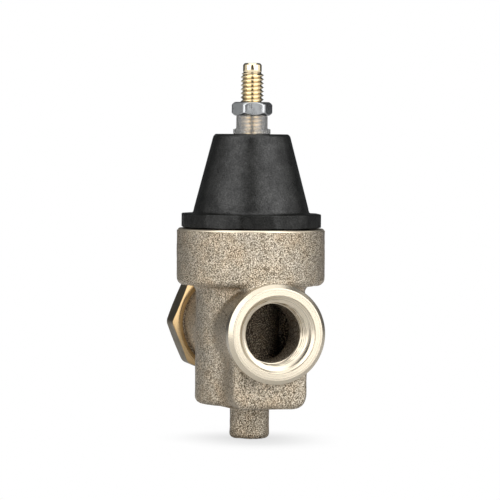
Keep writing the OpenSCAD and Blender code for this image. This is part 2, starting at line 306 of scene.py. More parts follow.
class Graph:
    """A node material under construction. Its noise follows the object's own coordinates, in metres."""

    def __init__(self, name):
        self.mat = bpy.data.materials.new(name)
        self.mat.use_nodes = True
        self.tree = self.mat.node_tree
        self.bsdf = next(n for n in self.tree.nodes if n.type == "BSDF_PRINCIPLED")
        self.where = self.node("ShaderNodeTexCoord").outputs["Object"]

    def node(self, kind, values=None, **props):
        made = self.tree.nodes.new(kind)
        for key, value in props.items():
            setattr(made, key, value)
        for key, value in (values or {}).items():
            self.put(made.inputs[key], value)
        return made

    def put(self, socket, value):
        """Links a socket to the input, or sets the input to a value."""
        if isinstance(value, bpy.types.NodeSocket):
            self.tree.links.new(value, socket)
        else:
            socket.default_value = value

    def set(self, **values):
        """Sets inputs of the main shader; an underscore stands for a space."""
        for key, value in values.items():
            self.put(self.bsdf.inputs[key.replace("_", " ")], value)

    def noise(self, scale, detail=2.0, rough=0.5, vector=None):
        """Noise whose grains are about 1/scale metres across."""
        values = {"Scale": scale, "Detail": detail, "Roughness": rough, "Vector": vector or self.where}
        return self.node("ShaderNodeTexNoise", values).outputs["Fac"]

    def ramp(self, fac, stops):
        """Colour by stops, each a position and a colour."""
        made = self.node("ShaderNodeValToRGB", {"Fac": fac})
        elements = made.color_ramp.elements
        while len(elements) < len(stops):
            elements.new(0.5)
        for e, (pos, col) in zip(elements, stops):
            e.position = pos
            e.color = col
        return made.outputs["Color"]

    def level(self, fac, low, high, lo_in=0.3, hi_in=0.7):
        """Number that goes from low to high as fac goes from lo_in to hi_in."""
        values = {"Value": fac, "From Min": lo_in, "From Max": hi_in, "To Min": low, "To Max": high}
        return self.node("ShaderNodeMapRange", values).outputs["Result"]

    def mix(self, fac, a, b, blend_type="MIX"):
        made = self.node("ShaderNodeMixRGB", {"Color1": a, "Color2": b}, blend_type=blend_type)
        self.put(made.inputs["Fac"], fac)
        return made.outputs["Color"]

    def height(self):
        return self.node("ShaderNodeSeparateXYZ", {"Vector": self.where}).outputs["Z"]

    def math(self, op, a, b=0.0):
        made = self.node("ShaderNodeMath", operation=op)
        self.put(made.inputs[0], a)
        self.put(made.inputs[1], b)
        return made.outputs[0]

    def bump(self, height, distance, strength=1.0, under=None):
        """Normal of a relief this many metres deep, on top of another one if given."""
        made = self.node("ShaderNodeBump", {"Height": height, "Distance": distance, "Strength": strength})
        if under is not None:
            self.put(made.inputs["Normal"], under)
        return made.outputs["Normal"]

    def radius_about(self, axis):
        """Distance from the valve axis or from the flow axis, and the tangent direction round it."""
        split = self.node("ShaderNodeSeparateXYZ", {"Vector": self.where})
        x, y, z = split.outputs
        if axis == "valve":
            a, b = x, y
        else:
            a, b = y, self.math("SUBTRACT", z, FLOW_Z * MM)
        r = self.math("SQRT", self.math("ADD", self.math("MULTIPLY", a, a), self.math("MULTIPLY", b, b)))
        back = self.math("MULTIPLY", b, -1.0)
        if axis == "valve":
            made = self.node("ShaderNodeCombineXYZ", {"X": back, "Y": a})
        else:
            made = self.node("ShaderNodeCombineXYZ", {"Y": back, "Z": a})
        return r, made.outputs["Vector"]

    def lines(self, value, per_metre, detail=2.0):
        """Noise along one number, as left by a cutting tool."""
        made = self.node("ShaderNodeTexNoise", {"W": value, "Scale": per_metre, "Detail": detail},
                         noise_dimensions="1D")
        return made.outputs["Fac"]


def inside_mask(g):
    """1 on the skin inside the casting, 0 outside: the cavity about the valve and the water passage."""
    near_valve = g.level(g.radius_about("valve")[0], 1.0, 0.0, 0.0163, 0.0172)
    above_floor = g.level(g.height(), 0.0, 1.0, 0.0135, 0.0145)
    passage = g.level(g.radius_about("flow")[0], 1.0, 0.0, 0.0104, 0.0110)
    return g.math("MAXIMUM", g.math("MULTIPLY", near_valve, above_floor), passage)


def cast_bronze():
    """Blasted bronze: random grain tone under half a millimetre across, with painted glints at its bright
    end and painted pit shade at its dark end, and painted shade and more roughness inside.
    """
    g = Graph("cast_bronze")
    patches = g.noise(120, 3.0, 0.6)
    grain = g.noise(2700, 2.0, 0.65)
    # Grain colour: random tone, with painted glints in the bright stops and painted pit shade in the dark
    # stops.
    dark = [(0.34, srgb(54, 46, 35)), (0.42, srgb(124, 115, 100))]
    bright = [(0.50, srgb(161, 151, 135)), (0.60, srgb(230, 221, 205))]
    pale = (0.32, srgb(248, 247, 246))
    warm = [(0.52, srgb(255, 251, 245)), (0.72, srgb(255, 243, 229))]
    colour = g.mix(1.0, g.ramp(grain, dark + bright), g.ramp(patches, [pale] + warm), "MULTIPLY")
    inside = inside_mask(g)
    # Painted shade inside the casting: there the grain's low spots turn to a dark, dull colour.
    painted_inner_shade = g.math("MULTIPLY", inside, g.level(grain, 1.0, 0.0, 0.45, 0.62))
    fine = g.bump(g.noise(3200, 2.0, 0.6), 0.00026, 1.0)
    coarse = g.bump(g.noise(1300, 2.0, 0.5), 0.00016, 0.5, fine)
    g.set(Base_Color=g.mix(painted_inner_shade, colour, srgb(98, 86, 74)), Metallic=1.0, Normal=coarse)
    g.set(Roughness=g.math("ADD", g.level(grain, 0.52, 0.3), g.math("MULTIPLY", inside, 0.35)))
    return g.mat


def machined(name, axis, base, rough=0.22, aniso=0.6):
    """Metal turned on a lathe about an axis: tool lines, tone bands and a stretched highlight."""
    g = Graph(name)
    r, tangent = g.radius_about(axis)
    split = g.node("ShaderNodeSeparateXYZ", {"Vector": g.where})
    along = split.outputs["Z" if axis == "valve" else "X"]
    both = g.math("ADD", r, along)
    marks = g.lines(both, 5200, 3.0)
    wide = g.lines(both, 1300, 2.0)
    shade = g.mix(g.level(wide, 0.22, 0.0, 0.35, 0.6), base, BLACK)
    g.set(Base_Color=shade, Metallic=1.0, Anisotropic=aniso, Tangent=tangent)
    g.set(Roughness=g.level(wide, rough * 0.8, rough * 1.25))
    g.set(Normal=g.bump(marks, 0.00002, 0.5, g.bump(g.noise(500), 0.00004, 0.3)))
    return g.mat


def plain_metal(name, base, rough, grain=900, depth=0.00003, metallic=1.0):
    """Metal with faint unevenness in its colour, its sheen and its surface."""
    g = Graph(name)
    tone = g.mix(g.level(g.noise(grain * 0.4, 3.0), 0.14, 0.0), base, BLACK)
    g.set(Base_Color=tone, Metallic=metallic)
    g.set(Roughness=g.level(g.noise(grain * 0.3, 2.0), rough * 0.85, rough * 1.2))
    g.set(Normal=g.bump(g.noise(grain, 3.0), depth, 0.6))
    return g.mat


def screw_brass():
    """Bright brass with painted shade at the bottom of the thread."""
    g = Graph("bright_brass")
    r = g.radius_about("valve")[0]
    # Painted shade in the thread roots, kept off the plain tip.
    root_shade = g.level(r, 0.75, 0.0, (SCREW_R - 0.72) * MM, (SCREW_R - 0.48) * MM)
    tip_z = SCREW_TOP - SCREW_TIP
    thread = g.level(g.height(), 1.0, 0.0, (tip_z - 0.1) * MM, (tip_z + 0.2) * MM)
    tone = g.mix(g.math("MULTIPLY", root_shade, thread), srgb(246, 228, 192), srgb(70, 52, 22))
    g.set(Base_Color=tone, Metallic=1.0)
    g.set(Roughness=g.level(g.noise(900, 2.0), 0.09, 0.15))
    g.set(Normal=g.bump(g.noise(1500, 3.0), 0.00003, 0.5))
    return g.mat


def black_moulding():
    """Glass-filled plastic: mottled sheen with fine specks, duller on the flange."""
    g = Graph("black_moulding")
    flow = g.noise(220, 4.0, 0.65)
    speck = g.noise(2200, 2.0, 0.7)
    cone = g.level(g.height(), 0.6, 0.92, (FLANGE_TOP - 0.1) * MM, (FLANGE_TOP + 0.3) * MM)
    base = g.ramp(flow, [(0.3, srgb(8, 8, 7)), (0.7, srgb(16, 16, 13))])
    g.set(Base_Color=base, Metallic=0.0)
    sheen = g.math("MULTIPLY", g.level(flow, 0.33, 0.63), g.level(speck, 0.65, 1.4, 0.38, 0.66))
    g.set(Specular_IOR_Level=g.math("MULTIPLY", sheen, cone))
    g.set(Roughness=g.level(g.noise(420, 5.0, 0.7), 0.27, 0.4, 0.38, 0.62))
    skin = g.bump(speck, 0.00008, 0.9)
    g.set(Normal=g.bump(g.noise(160, 3.0), 0.0003, 0.3, skin))
    return g.mat


def clear_nylon():
    """Milky plastic that the screw's thread shows through."""
    g = Graph("clear_nylon")
    cloud = g.noise(500, 3.0)
    milk = g.ramp(cloud, [(0.3, srgb(232, 230, 227)), (0.7, srgb(240, 238, 235))])
    g.set(Base_Color=milk, IOR=1.5)
    g.set(Roughness=g.level(cloud, 0.14, 0.2), Transmission_Weight=0.86)
    g.set(Normal=g.bump(g.noise(700), 0.00005, 0.3))
    return g.mat


def black_rubber():
    """Dull rubber with faint paler clouds."""
    g = Graph("black_rubber")
    base = srgb(18, 18, 18)
    paler = tuple(c * 1.6 for c in base[:3]) + (1.0,)
    g.set(Base_Color=g.ramp(g.noise(700, 3.0), [(0.3, base), (0.7, paler)]))
    g.set(Roughness=g.level(g.noise(1600, 3.0), 0.595, 0.805))
    g.set(Normal=g.bump(g.noise(2200, 2.0), 0.00004, 0.6))
    return g.mat


def fibre():
    """Red-brown gasket board with strands across the pipe."""
    g = Graph("fibre")
    stretched = g.node("ShaderNodeMapping", {"Vector": g.where, "Scale": (1.0, 4.0, 4.0)})
    strands = g.noise(700, 4.0, 0.7, stretched.outputs["Vector"])
    board = g.ramp(strands, [(0.3, srgb(96, 52, 38)), (0.7, srgb(140, 84, 60))])
    g.set(Base_Color=board, Roughness=0.8)
    g.set(Normal=g.bump(strands, 0.00008, 0.7))
    return g.mat


MAT = {
    "cast_bronze": cast_bronze(),
    "machined_flow": machined("machined_flow", "flow", srgb(214, 203, 183), 0.27, 0.5),
    "machined_valve": machined("machined_valve", "valve", srgb(232, 219, 196), 0.24, 0.4),
    "black_moulding": black_moulding(),
    "bright_brass": screw_brass(),
    "zinc_plate": plain_metal("zinc_plate", srgb(180, 182, 183), 0.28, 1300, 0.00007),
    "clear_nylon": clear_nylon(),
    "spring_steel": plain_metal("spring_steel", srgb(120, 122, 126), 0.35),
    "acetal": plain_metal("acetal", srgb(205, 203, 196), 0.45, metallic=0.0),
    "black_rubber": black_rubber(),
    "turned_brass": machined("turned_brass", "valve", srgb(232, 200, 132), 0.22, 0.5),
    "stainless": plain_metal("stainless", srgb(190, 192, 194), 0.3),
    "forged_brass": plain_metal("forged_brass", srgb(120, 110, 90), 0.42, 900, 0.00008),
    "nut_face": machined("nut_face", "flow", srgb(196, 166, 122), 0.32, 0.4),
    "fibre": fibre(),
}


def coat(obj, *names):
    """Gives an object its material slots."""
    for name in names:
        obj.data.materials.append(MAT[name])


def finish_piece(obj, body, node, slot, look=None):
    """Gives a piece its material, by look or else by slot, parents it to the CAD body it rides on and hides
    the CAD node it stands for.
    """
    if not obj.data.materials:
        coat(obj, look or slot)
    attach(obj, body)
    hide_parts(node)


# ---- body casting: the cast skin as a distance field ----

# Grid step of the distance field.
STEP = 0.45
# Lower body: a barrel about the valve axis, standing on a boss, with the drum on top.
CAST_R = 19.1
BASE_Z = 12.1
UNDER_DRUM_Z = 53.6
BOSS_R = 6.9
# Outlet: hub, collar at its end and the square block under it. Inlet: a plain hub.
HUB_R = 15.9
COLLAR_LEN = 4.4
COLLAR_R = 17.1
BLOCK_X = 28.0
BLOCK_HALF = 13.9
INLET_HUB_R = 16.1
INLET_TURNED = 4.1
# Inside: cavity, the wall round the seat module, the sump, the floor and the module's bore.
CAVITY_R = 16.1
PARTITION_R = 9.7
SUMP_R = 12.5
SUMP_TOP = 25.5
FLOOR_Z = 15.4
MODULE_BORE_R = 8.0
BRONZE_SLOTS = ("cast_bronze", "machined_flow", "machined_valve")
# Radius of a cutter's end rings, so close to the axis that their caps are points.
AXIS = 0.01


def rod(rho, h, r, h0, h1, edge):
    """Distance to a cylinder with rounded rims."""
    a = rho - (r - edge)
    b = np.abs(h - (h0 + h1) / 2) - ((h1 - h0) / 2 - edge)
    return np.minimum(np.maximum(a, b), 0) + np.hypot(np.maximum(a, 0), np.maximum(b, 0)) - edge


def plate(a, b, lo, hi, edge):
    """Distance to a rectangle with rounded corners, in two of the coordinates."""
    u = np.abs(a - (lo[0] + hi[0]) / 2) - ((hi[0] - lo[0]) / 2 - edge)
    v = np.abs(b - (lo[1] + hi[1]) / 2) - ((hi[1] - lo[1]) / 2 - edge)
    return np.minimum(np.maximum(u, v), 0) + np.hypot(np.maximum(u, 0), np.maximum(v, 0)) - edge


def join(a, b, fillet):
    """Union whose inner corner has a fillet."""
    u = np.maximum(fillet - a, 0)
    v = np.maximum(fillet - b, 0)
    return np.maximum(fillet, np.minimum(a, b)) - np.hypot(u, v)


def carve(a, b, edge):
    """The part of a outside b, with its inner corner filleted."""
    return -join(-a, b, edge)


def casting_field(x, y, z):
    """Distance to the casting's skin in millimetres, negative inside the metal."""
    valve = np.hypot(x, y)
    flow = np.hypot(y, z - FLOW_Z)
    body = rod(valve, z, CAST_R, BASE_Z, UNDER_DRUM_Z + 4, 2.3)
    across = plate(y, z, (-BLOCK_HALF, BASE_Z), (BLOCK_HALF, FLOW_Z + 6), 5.8)
    block = -join(-across, -plate(x, y, (-6, -BLOCK_HALF), (BLOCK_X, BLOCK_HALF), 3.0), 2.2)
    shape = join(body, block, 2.6)
    shape = join(shape, rod(flow, x, HUB_R, -2, OUTLET_X + 1, 1.0), 1.2)
    shape = join(shape, rod(flow, -x, INLET_HUB_R, -2, HUB_END + 1, 1.0), 3.0)
    shape = join(shape, rod(valve, z, DRUM_R, UNDER_DRUM_Z, DRUM_TOP + 2, 2.2), 2.6)
    shape = join(shape, rod(flow, x, COLLAR_R + 0.5, OUTLET_X - COLLAR_LEN, OUTLET_X + 1, 0.3), 0.5)
    turned_from = HUB_END - INLET_TURNED - 0.5
    shape = join(shape, rod(flow, -x, INLET_HUB_R + 0.8, turned_from, HUB_END + 1, 0.3), 0.5)
    shape = join(shape, rod(valve, z, BOSS_R, 0, BASE_Z + 4, 1.6), 1.2)
    return inside_cut(shape, x, y, z, valve, flow)


def inside_cut(shape, x, y, z, valve, flow):
    """The shape less its water ways: outlet side above the seat, inlet side below it, and the sump."""
    wall = rod(valve, z, PARTITION_R, FLOOR_Z - 6, CHAMBER_Z + 6, 0.5)
    outlet = rod(valve, z, CAVITY_R, FLOW_Z - PASSAGE_R, CHAMBER_Z + 2, 1.0)
    outlet = np.maximum(outlet, 2 - x)
    outlet = join(outlet, rod(flow, x, PASSAGE_R, 1, OUTLET_X + 4, 0.5), 1.0)
    inlet = np.maximum(rod(valve, z, CAVITY_R, FLOOR_Z, FLOW_Z + PASSAGE_R, 1.0), 2 + x)
    inlet = join(inlet, rod(flow, -x, PASSAGE_R, 1, HUB_END + 4, 0.5), 1.0)
    hollow = carve(np.minimum(outlet, inlet), wall, 1.0)
    hollow = np.minimum(hollow, rod(valve, z, SUMP_R, FLOOR_Z, SUMP_TOP, 1.2))
    hollow = np.minimum(hollow, rod(valve, z, MODULE_BORE_R - 0.4, FLOOR_Z, DRUM_TOP + 4, 0.2))
    return np.maximum(shape, -hollow)


def surface_net(field, origin, step):
    """Closed surface where the field crosses zero: one point per mixed cell, one quad per crossing edge."""
    inside = field < 0
    nx, ny, nz = (n - 1 for n in field.shape)
    total = np.zeros((nx, ny, nz), np.int8)
    for c in range(8):
        i, j, k = c & 1, c >> 1 & 1, c >> 2 & 1
        total += inside[i:nx + i, j:ny + j, k:nz + k]
    cells = np.argwhere((total > 0) & (total < 8))
    number = np.full((nx, ny, nz), -1, np.int64)
    number[tuple(cells.T)] = np.arange(len(cells))
    points = cell_points(field, cells) * step + origin
    return points, net_quads(inside, number)


def cell_points(field, cells):
    """Mean of the points where each cell's edges cross zero, in grid steps."""
    total = np.zeros((len(cells), 3))
    count = np.zeros(len(cells))
    for axis in range(3):
        for a in (0, 1):
            for b in (0, 1):
                start = np.zeros(3, int)
                others = [n for n in range(3) if n != axis]
                start[others[0]] = a
                start[others[1]] = b
                end = start.copy()
                end[axis] = 1
                f0 = field[tuple((cells + start).T)]
                f1 = field[tuple((cells + end).T)]
                hit = (f0 < 0) != (f1 < 0)
                t = np.where(hit, f0 / np.where(hit, f0 - f1, 1), 0)
                p = cells + start + t[:, None] * (end - start)
                total += np.where(hit[:, None], p, 0)
                count += hit
    return total / count[:, None]


def net_quads(inside, number):
    """One quad of four cells round each grid edge that crosses the surface."""
    quads = []
    for axis in range(3):
        moved = np.moveaxis(inside, axis, 0)
        cellnum = np.moveaxis(number, axis, 0)
        low, high = moved[:-1, 1:-1, 1:-1], moved[1:, 1:-1, 1:-1]
        for sign in (False, True):
            where = np.argwhere((low == sign) & (high != sign))
            i, j, k = where.T
            near = [cellnum[i, j, k], cellnum[i, j + 1, k]]
            far = [cellnum[i, j + 1, k + 1], cellnum[i, j, k + 1]]
            quad = np.stack(near + far, -1)
            flip = sign == (axis == 1)
            quads.append(quad[:, ::-1] if flip else quad)
    return np.vstack(quads)


def settle(points, rounds=2):
    """Moves points onto the field's zero along its gradient. Returns them and the gradient."""
    eps = 0.08
    for _ in range(rounds):
        grad = field_gradient(points, eps)
        value = casting_field(*points.T)
        points = points - np.clip(value, -0.2, 0.2)[:, None] * grad
    return points, field_gradient(points, eps)


def field_gradient(points, eps):
    """Unit vectors that point out of the metal."""
    g = np.zeros_like(points)
    for axis in range(3):
        d = np.zeros(3)
        d[axis] = eps
        g[:, axis] = casting_field(*(points + d).T) - casting_field(*(points - d).T)
    return g / np.maximum(np.linalg.norm(g, axis=1), 1e-9)[:, None]


def rough_casting():
    """The cast skin with its slight unevenness, before anything is machined."""
    lo = np.array([-HUB_END - 2.2, -DRUM_R - 1.2, -1.2])
    hi = np.array([OUTLET_X + 2.2, DRUM_R + 1.2, DRUM_TOP + 3.2])
    axes = [np.arange(a, b, STEP) for a, b in zip(lo, hi)]
    x, y, z = np.meshgrid(*axes, indexing="ij", sparse=True)
    field = casting_field(x.astype(np.float32), y.astype(np.float32), z.astype(np.float32))
    points, quads = surface_net(field, lo, STEP)
    points, normal = settle(points)
    layers = ((0.10, 5.0, 7), (0.05, 1.9, 8), (0.035, 0.9, 9))
    skin = sum(high * lattice_noise(points, cell, seed) for high, cell, seed in layers)
    points = points + normal * np.minimum(skin, 0.08)[:, None]
    return mesh_object("body_casting_skin", points, outward(points, [quads]), 40.0)


def cutter(name, axis, theta, blocks, slot):
    """Solid about the axis that cuts the casting and leaves its material on the cut."""
    obj = blocks_solid(name, axis, theta, blocks, False)
    coat(obj, *BRONZE_SLOTS)
    index = BRONZE_SLOTS.index(slot)
    obj.data.polygons.foreach_set("material_index", np.full(len(obj.data.polygons), index, np.int32))
    return obj


def drum_cutter():
    """Turns the drum's rim, its bore, the diaphragm's ledge, the chamber and the seat module's bore."""
    rim = DRUM_R - 0.35
    bore = 21.55
    ledge = heights("diaphragm")[0]
    chamber_r = 18.5
    bottom = 24.9
    above = [(AXIS, DRUM_TOP + 6), (DRUM_R + 4, DRUM_TOP + 6), (DRUM_R + 4, DRUM_TOP - 0.65)]
    edge = [(rim + 0.05, DRUM_TOP - 0.65), (rim, DRUM_TOP - 0.6), (rim, DRUM_TOP - 0.3),
            (rim - 0.3, DRUM_TOP), (bore + 0.5, DRUM_TOP), (bore, DRUM_TOP - 0.5)]
    chamber = [(bore, ledge), (chamber_r, ledge), (chamber_r, CHAMBER_Z), (MODULE_BORE_R + 0.5, CHAMBER_Z)]
    module = [(MODULE_BORE_R, CHAMBER_Z - 0.5), (MODULE_BORE_R, bottom), (AXIS, bottom)]
    blocks = rings(above + edge + chamber + module)
    return cutter("cut_drum", "valve", round_angles(144), blocks, "machined_valve")


def outlet_cutter():
    """Turns the outlet's collar, chamfer and face, sinks its mouth and taps its bore."""
    theta = round_angles(120)
    face = OUTLET_X
    edge = 1.4
    back = face - COLLAR_LEN
    mouth = face - COUNTERSINK
    root = mouth - TAP_LEN
    h = column(np.arange(mouth - 0.15, root, -PIPE_PITCH / 16))
    down = (mouth - h) / TAP_LEN
    crest = 10.85 - 0.5 * down
    deep = 1.05 - 0.35 * down
    thread = crest + deep - groove(theta[None, :], h, PIPE_PITCH, 1.0) * deep

    side = [(COLLAR_R + 5, back - 0.15), (COLLAR_R, back - 0.15), (COLLAR_R, back + 0.1),
            (COLLAR_R, face - edge - 0.2), (COLLAR_R, face - edge - 0.05)]
    chamfer = [(COLLAR_R - edge * t, face - edge * (1 - t)) for t in (0.04, 0.12, 0.5, 0.88, 0.96)]
    flat = [(COLLAR_R - edge - d, face) for d in (0.06, 0.2, 1.2)]
    flat += [(MOUTH_R + d, face) for d in (0.2, 0.05)]
    step = [(MOUTH_R, face - 0.05), (MOUTH_R - 0.03, face - 0.22), (MOUTH_R - 0.1, face - 0.27),
            (MOUTH_R - 0.2, face - 0.3)]
    sink = [(MOUTH_R - 0.25, face - 0.34), (12.6, face - 0.75), (12.05, mouth - 0.02)]
    blocks = rings([(AXIS, face + 5), (COLLAR_R + 5, face + 5)] + side + chamfer + flat + step + sink)
    blocks.append((thread, h))
    blocks += rings([(PASSAGE_R + 0.1, root), (PASSAGE_R - 0.1, root - 0.3), (AXIS, root - 0.3)])
    return cutter("cut_outlet", "outlet", theta, blocks, "machined_flow")


def inlet_cutter():
    """Turns the end of the inlet hub and cuts the union's thread on it."""
    theta = round_angles(120)
    start = HUB_END - INLET_TURNED
    root_r = 15.65
    h = column(np.arange(start + 0.3, HUB_END - 0.7, PIPE_PITCH / 12))
    ends = np.clip((HUB_END - 0.5 - h) / 1.2, 0, 1)
    thread = root_r + (UNION_DEPTH - groove(theta[None, :], h, PIPE_PITCH, UNION_DEPTH)) * ends

    blocks = rings([(AXIS, HUB_END + 5), (INLET_HUB_R + 5, HUB_END + 5), (INLET_HUB_R + 5, start - 0.4),
                    (root_r + 0.05, start - 0.4), (root_r, start + 0.2)])
    blocks.append((thread, h))
    blocks += rings([(root_r - 0.05, HUB_END - 0.5), (15.1, HUB_END), (PASSAGE_R + 0.7, HUB_END),
                     (PASSAGE_R, HUB_END - 0.7), (PASSAGE_R, HUB_END - 3), (AXIS, HUB_END - 3)])
    return cutter("cut_inlet", "inlet", theta, blocks, "machined_flow")


def body_casting():
    obj = rough_casting()
    coat(obj, *BRONZE_SLOTS)
    for tool in (drum_cutter(), outlet_cutter(), inlet_cutter()):
        cut = obj.modifiers.new("cut", "BOOLEAN")
        cut.operation = "DIFFERENCE"
        cut.solver = "MANIFOLD"
        cut.object = tool
        graph = bpy.context.evaluated_depsgraph_get()
        made = bpy.data.meshes.new_from_object(obj.evaluated_get(graph))
        obj.modifiers.clear()
        obj.data = made
        bpy.data.objects.remove(tool)
    smooth(obj.data, 38.0)
    finish_piece(obj, "valve_body", "body_casting", "cast_bronze")


# ---- bonnet ----

FLANGE_R = 24.8
CONE_FOOT_Z = 79.4
CONE_FOOT_R = 20.2
CONE_TOP_R = 13.4


def cone_r(h):
    """Outside radius of the bonnet's cone, a straight line between its foot and its top."""
    down_to_foot = (h - CONE_FOOT_Z) / (CONE_TOP - 0.7 - CONE_FOOT_Z)
    return CONE_FOOT_R + (CONE_TOP_R - CONE_FOOT_R) * down_to_foot


def bonnet_flange(theta, turn):
    """Twelve flats, with a shallow bevel underneath and a rounded edge on top."""
    side = polygon_r(theta, 12, FLANGE_R, turn)
    side = np.minimum(side, FLANGE_R - 0.18)
    blocks = rings([(21.8, FLANGE_BOTTOM), (22.7, FLANGE_BOTTOM)])
    for rise in (0.01, 0.04, 0.12, 0.2, 0.28, 0.36, 0.42, 0.47, 0.55, 0.7):
        bevel = FLANGE_R - 1.8 + 4.0 * rise
        blocks.append((np.minimum(side, bevel)[None, :], column([FLANGE_BOTTOM + rise])))
    for grow, down in ((0.0, 0.5), (0.0, 0.3), (-0.08, 0.12), (-0.25, 0.03), (-0.45, 0.0), (-0.6, 0.0)):
        blocks.append((side[None, :] + grow, column([FLANGE_TOP - down])))
    return blocks


def bonnet_cone():
    """Fillet on the flange, the cone and its rounded top edge, up to the mouth of the screw's hole."""
    foot = cone_r(80.2)
    fillet = [(1.7, 0.0), (1.5, 0.0), (1.05, 0.05), (0.6, 0.25), (0.3, 0.6), (0.1, 1.2)]
    rows = [(foot + out, FLANGE_TOP + up) for out, up in fillet]
    rows += [(cone_r(h), h) for h in np.linspace(80.4, CONE_TOP - 1.3, 14)]
    rows.append((cone_r(CONE_TOP - 0.9), CONE_TOP - 0.9))
    brow = [(0.1, 0.45), (0.4, 0.13), (0.85, 0.0), (1.2, 0.0)]
    rows += [(cone_r(CONE_TOP) - inward, CONE_TOP - down) for inward, down in brow]
    rows += [(5.4, CONE_TOP), (5.0, CONE_TOP), (4.85, CONE_TOP - 0.05), (4.3, CONE_TOP - 0.6)]
    return rings(rows)


def bonnet():
    turn = math.radians(5.5)
    theta = round_angles(12 * 12, turn)
    bore_h = column(np.arange(CONE_TOP - 0.9, 100.4, -FINE_PITCH / 10))
    bore = SCREW_R + 0.07 - groove(theta[None, :], bore_h, FINE_PITCH, 0.7)
    blocks = rings([(18.4, NECK_Z), (21.1, NECK_Z), (21.5, NECK_Z + 0.4), (21.5, FLANGE_BOTTOM - 0.6),
                    (21.2, FLANGE_BOTTOM)])
    blocks += bonnet_flange(theta, turn)
    blocks += bonnet_cone()
    blocks.append((bore, bore_h))
    blocks += rings([(4.3, 99.8), (9.6, 99.8), (10.1, 99.7), (10.3, 99.3), (16.4, 80.3), (16.8, 79.6),
                     (18.4, 71.2), (18.4, 70.6)])
    obj = blocks_solid("bonnet_shell", "valve", theta, blocks)
    finish_piece(obj, "valve_body", "bonnet", "black_moulding")


# ---- adjusting screw, lock nut and sleeve ----

LOCK_NUT_FLATS = 12.7


def screw_surface(theta, h):
    """Radius of the screw's thread."""
    return SCREW_R - groove(theta, h, FINE_PITCH, FINE_DEPTH)


def adjusting_screw():
    theta = round_angles(72)
    root_r = 3.1
    tip_r = 3.25
    tip_z = SCREW_TOP - SCREW_TIP
    h = column(np.arange(SCREW_BOTTOM + 2.0, tip_z - 0.1, FINE_PITCH / 12))
    fade = np.clip((tip_z - 0.1 - h) / 0.5, 0, 1)
    start = np.clip((h - SCREW_BOTTOM - 2.0) / 0.6, 0, 1)
    thread = root_r + (screw_surface(theta[None, :], h) - root_r) * np.minimum(fade, start)
    low = [(0.3, 0.25), (0.8, 0.05), (2.2, 0.0), (2.6, 0.1), (2.95, 0.5), (3.0, 0.7), (3.0, 1.8)]
    high = [(3.12, -3.1), (tip_r - 0.05, -2.95), (tip_r, -2.8), (tip_r, -0.75), (tip_r - 0.05, -0.62),
            (tip_r - 0.5, -0.1), (tip_r - 0.62, -0.02), (tip_r - 0.8, 0.0), (1.6, 0.0), (0.3, -0.02)]
    blocks = rings([(r, SCREW_BOTTOM + d) for r, d in low])
    blocks.append((thread, h))
    blocks += rings([(r, SCREW_TOP + d) for r, d in high])
    obj = blocks_solid("adjusting_screw_threaded", "valve", theta, blocks, False, 60.0)
    finish_piece(obj, "adjusting_screw", "adjusting_screw", "bright_brass")


def prism_rows(theta, sides, vertex_r, turn, h0, h1, cone_tan, edge):
    """Row block for a nut's outside from h0 to h1: flats met by a cone at each end."""
    flat = vertex_r * math.cos(math.pi / sides)
    cone_start = flat * 0.965
    t = np.concatenate([[0.0, 0.02, 0.06], np.linspace(0.12, 1.0, 14) ** 1.4])
    reach = (vertex_r - cone_start) / cone_tan + edge
    down = t * reach
    body = np.linspace(reach, (h1 - h0) - reach, 5)[1:-1]
    depth = np.concatenate([down, body, ((h1 - h0) - down)[::-1]])
    near = np.minimum(depth, (h1 - h0) - depth)
    cone = cone_start - edge * np.exp(-near / (edge * 0.5)) + near * cone_tan
    side = polygon_r(theta, sides, vertex_r, turn)
    side = np.minimum(side, vertex_r - edge * 0.8)
    a = cone[:, None]
    b = side[None, :]
    k = edge * 0.6
    blend = np.clip(0.5 + 0.5 * (b - a) / k, 0, 1)
    r = b * (1 - blend) + a * blend - k * blend * (1 - blend)
    return r, (h0 + depth)[:, None]


def lock_nut():
    turn = math.radians(22.1)
    theta = round_angles(6 * 20, turn)
    h0, h1 = heights("lock_nut")
    vertex_r = LOCK_NUT_FLATS / 2 / math.cos(math.pi / 6)
    inner_h = column(np.arange(h1 - 0.5, h0 + 0.45, -FINE_PITCH / 12))
    bore = screw_surface(theta[None, :], inner_h) + 0.06
    blocks = [prism_rows(theta, 6, vertex_r, turn, h0, h1, 1.0, 0.3)]
    blocks += rings([(5.6, h1), (4.5, h1), (4.35, h1 - 0.05)])
    blocks.append((bore, inner_h))
    blocks += rings([(4.35, h0 + 0.05), (4.5, h0), (5.6, h0)])
    obj = blocks_solid("lock_nut_hex", "valve", theta, blocks, True, 28.0)
    finish_piece(obj, "lock_nut", "lock_nut", "zinc_plate")


def sealing_sleeve():
    z0, z1 = heights("sealing_sleeve")
    z0 += 0.02
    z1 -= 0.02
    bore = SCREW_R + 0.08
    flange_r = 6.5
    neck_r = 5.45
    flange = [(flange_r, z0), (flange_r, z0 + 1.68), (neck_r, z0 + 1.88)]
    outline = [(bore, z0)] + flange + [(neck_r, z1), (bore, z1)]
    obj = turned("sealing_sleeve_body", "valve", outline, 0.25)
    finish_piece(obj, "sealing_sleeve", "sealing_sleeve", "clear_nylon")


# ---- union ----

UNION_FLATS = 37.9


def depths(node):
    """Nearest and farthest end of a CAD node along the inlet."""
    lo, hi = span(node)
    return -hi[0], -lo[0]


